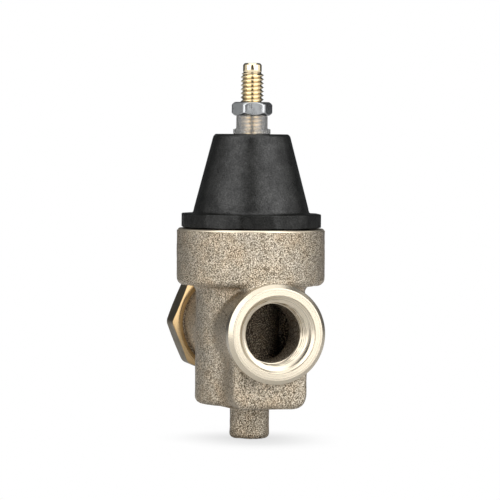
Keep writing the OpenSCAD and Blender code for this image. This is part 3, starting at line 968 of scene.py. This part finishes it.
def union_nut():
    """Octagon whose lip holds the tailpiece's collar, threaded inside for the inlet hub."""
    theta = round_angles(8 * 20)
    h0, h1 = depths("union_nut")
    vertex_r = UNION_FLATS / 2 / math.cos(math.pi / 8)
    bore_r = 16.75
    thread_top = h1 - 4.8
    h = column(np.arange(thread_top, h0 + 1.0, -PIPE_PITCH / 12))
    ends = np.clip((h - h0 - 1.0) / 1.0, 0, 1) * np.clip((thread_top - h) / 1.0, 0, 1)
    bore = bore_r - (0.1 + groove(theta[None, :], h, PIPE_PITCH, UNION_DEPTH)) * ends
    blocks = [prism_rows(theta, 8, vertex_r, 0.0, h0, h1, 1.5, 0.3)]
    blocks += rings([(17.4, h1), (16.2, h1), (15.7, h1 - 0.1), (15.3, h1 - 0.5), (15.2, h1 - 0.9),
                     (15.2, h1 - 2.0), (15.3, h1 - 2.2), (16.4, h1 - 2.25), (bore_r, h1 - 2.5),
                     (bore_r, h1 - 4.6)])
    blocks.append((bore, h))
    blocks += rings([(16.8, h0 + 0.4), (16.85, h0 + 0.15), (16.95, h0 + 0.04), (17.1, h0)])
    obj = blocks_solid("union_nut_octagon", "inlet", theta, blocks, True, 28.0)
    coat(obj, "forged_brass", "nut_face")
    mark_turned_faces(obj)
    finish_piece(obj, "union_nut", "union_nut", "forged_brass")


def mark_turned_faces(obj):
    """Flats keep the forged finish; faces that look along the flow axis, and the bore, are turned."""
    inside_r = 17.8
    mesh = obj.data
    n = len(mesh.polygons)
    normal = np.zeros(n * 3)
    centre = np.zeros(n * 3)
    mesh.polygons.foreach_get("normal", normal)
    mesh.polygons.foreach_get("center", centre)
    normal = normal.reshape(-1, 3)
    centre = centre.reshape(-1, 3) / MM
    rho = np.hypot(centre[:, 1], centre[:, 2] - FLOW_Z)
    flat = (np.abs(normal[:, 0]) < 0.2) & (rho > inside_r)
    mesh.polygons.foreach_set("material_index", np.where(flat, 0, 1).astype(np.int32))


def union_tailpiece():
    """Collar that the nut pulls on, barrel with two flats, and a tapped end for the supply pipe."""
    theta = round_angles(144)
    front, end = depths("union_tailpiece")
    body_r = 15.1
    step = front + 2.4
    flat_from = end - 7.0
    mouth = end - COUNTERSINK
    root = mouth - TAP_LEN
    flats = np.minimum(body_r, (body_r - 0.8) / np.maximum(np.abs(np.sin(theta)), 1e-6))[None, :]
    h = column(np.arange(mouth, root, -PIPE_PITCH / 12))
    fade = np.clip((h - root) / (2.2 * PIPE_PITCH), 0, 1)
    taper = (end - h) / 32.0
    bore = TAP_R + 0.25 - taper - groove(theta[None, :], h, PIPE_PITCH, 0.6) * fade
    blocks = rings([(PASSAGE_R + 0.4, front), (15.8, front), (16.2, front + 0.1), (16.3, front + 0.5),
                    (16.3, step - 0.3), (16.15, step - 0.05), (15.9, step), (15.5, step),
                    (body_r, step + 0.4), (body_r, step + 1.0)])
    for share, z in ((0.0, flat_from), (1.0, flat_from + 0.05), (1.0, flat_from + 0.5), (1.0, end - 1.2)):
        blocks.append((body_r * (1 - share) + flats * share, column([z])))
    for inward, down in ((0.35, 0.5), (0.8, 0.1), (1.0, 0.0)):
        blocks.append((np.minimum(flats, body_r - inward), column([end - down])))
    blocks += rings([(MOUTH_R + 0.2, end), (MOUTH_R, end - 0.08), (MOUTH_R - 1.1, mouth + 0.1)])
    blocks.append((bore, h))
    blocks += rings([(TAP_R - 0.9, root), (PASSAGE_R, root - 1.2), (PASSAGE_R, front + 0.4)])
    obj = blocks_solid("union_tailpiece_turned", "inlet", theta, blocks, True, 30.0)
    finish_piece(obj, "union_tailpiece", "union_tailpiece", "forged_brass", "nut_face")


def union_gasket():
    h0, h1 = depths("union_gasket")
    outline = [(PASSAGE_R + 0.6, h0), (15.6, h0), (15.6, h1), (PASSAGE_R + 0.6, h1)]
    obj = turned("union_gasket_ring", "inlet", outline, 0.3)
    finish_piece(obj, "union_tailpiece", "union_gasket", "fibre")


# ---- springs ----


def coil_height(turn, turns, z0, z1, wire_r):
    """Height of the coil's centre line, with one closed turn at each end."""
    closed = 2 * wire_r * 1.02
    run = z1 - z0 - 2 * wire_r - 2 * closed
    middle = closed + run * (turn - 1) / (turns - 2)
    tail = closed + run + closed * (turn - turns + 1)
    rise = np.where(turn < 1, closed * turn, np.where(turn > turns - 1, tail, middle))
    return z0 + wire_r + rise


def coil(name, mean_r, wire_r, turns, z0, z1, steps=32, sides=14):
    """Round wire wound about the valve axis, its rise smoothed where the end turns close."""
    t = np.arange(turns * steps + 1) / steps
    z = coil_height(t, turns, z0, z1, wire_r)
    kernel = np.ones(7) / 7
    z = np.concatenate([z[:3], np.convolve(z, kernel, "valid"), z[-3:]])
    a = t * TAU
    b = np.arange(sides) * TAU / sides
    r = mean_r + wire_r * np.cos(b)[None, :]
    x = r * np.cos(a)[:, None]
    y = r * np.sin(a)[:, None]
    h = z[:, None] + wire_r * np.sin(b)[None, :]
    return wrapped(name, np.stack([x, y, h], -1), False, 45.0)


def springs():
    z0, z1 = heights("range_spring")
    obj = coil("range_spring_coil", 7.45, 1.4, 7, z0, z1)
    finish_piece(obj, "stem", "range_spring", "spring_steel")
    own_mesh(obj)
    z0, z1 = heights("closing_spring")
    obj = coil("closing_spring_coil", 4.75, 0.35, 5, z0, z1, 28, 10)
    finish_piece(obj, "valve_body", "closing_spring", "stainless")
    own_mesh(obj)


# ---- hidden parts: stem, seat, clamp ----

# Radius of the hole that fits over the stem, and of the plate that presses on the diaphragm.
STEM_FIT = 1.95
PLATE_R = 15.0


def ring_part(name, body, node, slot, r_in, r_out, edge):
    """Flat ring as high as its CAD node."""
    z0, z1 = heights(node)
    outline = [(r_in, z0), (r_out, z0), (r_out, z1), (r_in, z1)]
    finish_piece(turned(name, "valve", outline, edge), body, node, slot)


def small_nut(name, node, vertex_r, bore_r):
    """Hexagon nut of the stem, as high as its CAD node."""
    z0, z1 = heights(node)
    theta = round_angles(6 * 14)
    blocks = [prism_rows(theta, 6, vertex_r, 0.0, z0, z1, 1.8, 0.12)]
    blocks += rings([(bore_r + 0.4, z1), (bore_r, z1 - 0.35), (bore_r, z0 + 0.35), (bore_r + 0.4, z0)])
    obj = blocks_solid(name, "valve", theta, blocks, True, 28.0)
    finish_piece(obj, "stem", node, "turned_brass")


def diaphragm():
    """Rubber disc with a shallow roll."""
    z0, z1 = heights("diaphragm")
    rim_r = 21.3
    roll_r = 16.4
    steps = np.linspace(STEM_FIT, rim_r, 26)
    under = [(r, z0) for r in steps]
    over = [(r, z1 - 0.25 * math.exp(-((r - roll_r) / 1.1) ** 2)) for r in steps[::-1]]
    theta = round_angles(96)
    prof = np.array(under + over)
    rows = place("valve", prof[:, :1] + 0 * theta, theta[None, :], prof[:, 1:])
    obj = wrapped("diaphragm_disc", rows, True, 40.0)
    coat(obj, "black_rubber")
    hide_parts("diaphragm")
    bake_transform(obj)


def valve_stem():
    z0, z1 = heights("valve_stem")
    neck = heights("disc_holder")[0]
    collar = heights("diaphragm_washer")[0]
    thin = 1.5
    thick = 1.9
    collar_r = 3.4
    outline = [(0, z0), (thin, z0), (thin, neck), (thick, neck), (thick, collar - 1.9),
               (collar_r, collar - 1.9), (collar_r, collar), (thick, collar), (thick, z1 - 0.4),
               (thin, z1), (0, z1)]
    obj = turned("valve_stem_turned", "valve", outline, 0.15, 48, False)
    finish_piece(obj, "stem", "valve_stem", "turned_brass")


def disc_holder():
    z0, z1 = heights("disc_holder")
    seat = heights("seat_disc")[0]
    outline = [(STEM_FIT, z0), (5.6, z0), (5.6, z1), (5.15, z1), (5.15, seat), (STEM_FIT, seat)]
    obj = turned("disc_holder_cup", "valve", outline, 0.12)
    finish_piece(obj, "stem", "disc_holder", "turned_brass")


def diaphragm_plate():
    z0, z1 = heights("diaphragm_plate")
    top = heights("stem_nut")[0]
    cup = 9.35
    outline = [(STEM_FIT, z0), (PLATE_R, z0), (PLATE_R, top), (cup + 1.2, top), (cup + 1.2, z1),
               (cup, z1), (cup, top), (STEM_FIT, top)]
    obj = turned("diaphragm_plate_dish", "valve", outline, 0.3)
    finish_piece(obj, "stem", "diaphragm_plate", "stainless")


def spring_button():
    z0, z1 = heights("spring_button")
    flange = heights("range_spring")[1]
    pilot_r = 5.75
    flange_r = 8.9
    dimple_r = 3.3
    outline = [(0, z0), (pilot_r, z0), (pilot_r, flange), (flange_r, flange), (flange_r, z1),
               (dimple_r, z1), (dimple_r, SCREW_BOTTOM), (0, SCREW_BOTTOM)]
    obj = turned("spring_button_moulded", "valve", outline, 0.3, 72, False)
    finish_piece(obj, "spring_button", "spring_button", "acetal")


def cad_materials():
    """Nodes shown as they were packed: the seat module, its O-rings and the strainer."""
    slots = {"seat_module": "turned_brass", "module_o_ring_upper": "black_rubber",
             "module_o_ring_lower": "black_rubber", "strainer_screen": "stainless"}
    for node, slot in slots.items():
        obj = frame["nodes"][node]
        obj.data.materials.clear()
        coat(obj, slot)


def hidden_parts():
    ring_part("slip_ring_flat", "valve_body", "slip_ring", "turned_brass", 18.4, 21.3, 0.15)
    ring_part("diaphragm_washer_flat", "stem", "diaphragm_washer", "turned_brass", STEM_FIT, 12.0, 0.3)
    ring_part("seat_disc_rubber", "stem", "seat_disc", "black_rubber", STEM_FIT, 5.1, 0.2)
    small_nut("stem_nut_hex", "stem_nut", 4.6, STEM_FIT)
    small_nut("disc_retainer_hex", "disc_retainer", 3.9, 1.55)
    diaphragm()
    valve_stem()
    disc_holder()
    diaphragm_plate()
    spring_button()
    cad_materials()


# ---- stage ----

CAMERA_AZIMUTH = 74.8
CAMERA_ELEVATION = 2.5
CAMERA_AWAY = 1.05
CAMERA_ROLL = 0.5
AIM_Z = 62.7


def direction(azimuth, elevation):
    """Unit vector from the object towards a viewer; azimuth 0 looks along +Y."""
    a = math.radians(azimuth)
    e = math.radians(elevation)
    return Vector((math.sin(a) * math.cos(e), -math.cos(a) * math.cos(e), math.sin(e)))


def camera():
    data = bpy.data.cameras.new("camera")
    data.lens = 216.4
    data.sensor_width = 36.0
    data.shift_x = -0.0015
    data.shift_y = 0.0168
    obj = linked("camera", data)
    back = direction(CAMERA_AZIMUTH, CAMERA_ELEVATION)
    turn = (-back).to_track_quat("-Z", "Y").to_matrix().to_4x4()
    obj.matrix_world = turn @ Matrix.Rotation(math.radians(CAMERA_ROLL), 4, Vector((0, 0, 1)))
    obj.location = Vector((0, 0, AIM_Z * MM)) + back * CAMERA_AWAY
    bpy.context.scene.camera = obj


def softbox(name, azimuth, elevation, distance, width, height, power):
    """Area light that looks at the middle of the object."""
    data = bpy.data.lights.new(name, "AREA")
    data.shape = "RECTANGLE"
    data.size = width
    data.size_y = height
    data.energy = power
    obj = linked(name, data)
    back = direction(CAMERA_AZIMUTH + azimuth, elevation)
    obj.location = Vector((0, 0, 0.06)) + back * distance
    obj.rotation_mode = "QUATERNION"
    obj.rotation_quaternion = (-back).to_track_quat("-Z", "Y")
    obj.visible_camera = False


def world():
    """White to the camera, and a faint cool light to everything else."""
    made = bpy.data.worlds.new("studio")
    made.use_nodes = True
    nodes = made.node_tree.nodes
    links = made.node_tree.links
    nodes.clear()
    path = nodes.new("ShaderNodeLightPath")
    seen = nodes.new("ShaderNodeBackground")
    lit = nodes.new("ShaderNodeBackground")
    mix = nodes.new("ShaderNodeMixShader")
    out = nodes.new("ShaderNodeOutputWorld")
    seen.inputs["Color"].default_value = WHITE
    lit.inputs["Color"].default_value = (0.9, 0.95, 1.0, 1.0)
    lit.inputs["Strength"].default_value = 0.08
    links.new(path.outputs["Is Camera Ray"], mix.inputs["Fac"])
    links.new(lit.outputs[0], mix.inputs[1])
    links.new(seen.outputs[0], mix.inputs[2])
    links.new(mix.outputs[0], out.inputs["Surface"])
    bpy.context.scene.world = made


def floor():
    """Pale floor: white to the camera but for a painted soft shadow near the object, grey to other rays."""
    g = Graph("studio_floor")
    out = next(n for n in g.tree.nodes if n.type == "OUTPUT_MATERIAL")
    path = g.node("ShaderNodeLightPath")
    speck = g.ramp(g.noise(3.0), [(0.0, (0.66, 0.66, 0.66, 1.0)), (1.0, (0.70, 0.70, 0.70, 1.0))])
    g.set(Base_Color=speck, Roughness=0.9)
    # Painted contact shadow: ambient occlusion dims the floor's glow near the object.
    near = g.node("ShaderNodeAmbientOcclusion", {"Distance": 0.02}, samples=8)
    glow = g.node("ShaderNodeEmission", {"Color": WHITE})
    g.put(glow.inputs["Strength"], g.level(near.outputs["AO"], 0.74, 1.0, 0.2, 0.95))
    both = g.node("ShaderNodeMixShader", {"Fac": path.outputs["Is Camera Ray"]})
    g.put(both.inputs[1], g.bsdf.outputs[0])
    g.put(both.inputs[2], glow.outputs[0])
    g.tree.links.new(both.outputs[0], out.inputs["Surface"])
    mesh = bpy.data.meshes.new("floor")
    half = 6.0
    corners = [(-half, -half, 0), (half, -half, 0), (half, half, 0), (-half, half, 0)]
    mesh.from_pydata(corners, [], [(0, 1, 2, 3)])
    mesh.materials.append(g.mat)
    obj = linked("floor", mesh)
    obj.location.z = -0.0002


def lights():
    """Two big boxes in front, a weak wing on each side and one above; azimuths count from the camera's."""
    softbox("left_box", -44, 21, 0.75, 0.73, 1.0, 5.6)
    softbox("right_box", 45, 21, 0.75, 0.73, 1.0, 6.3)
    softbox("left_wing", -90, 14, 0.75, 0.52, 1.0, 0.85)
    softbox("right_wing", 90, 14, 0.75, 0.52, 1.0, 1.5)
    softbox("top_box", 0, 80, 0.9, 0.9, 0.9, 4.2)


body_casting()
bonnet()
adjusting_screw()
lock_nut()
sealing_sleeve()
union_nut()
union_tailpiece()
union_gasket()
springs()
hidden_parts()
world()
floor()
lights()
camera()
bpy.context.scene.view_settings.view_transform = "Standard"
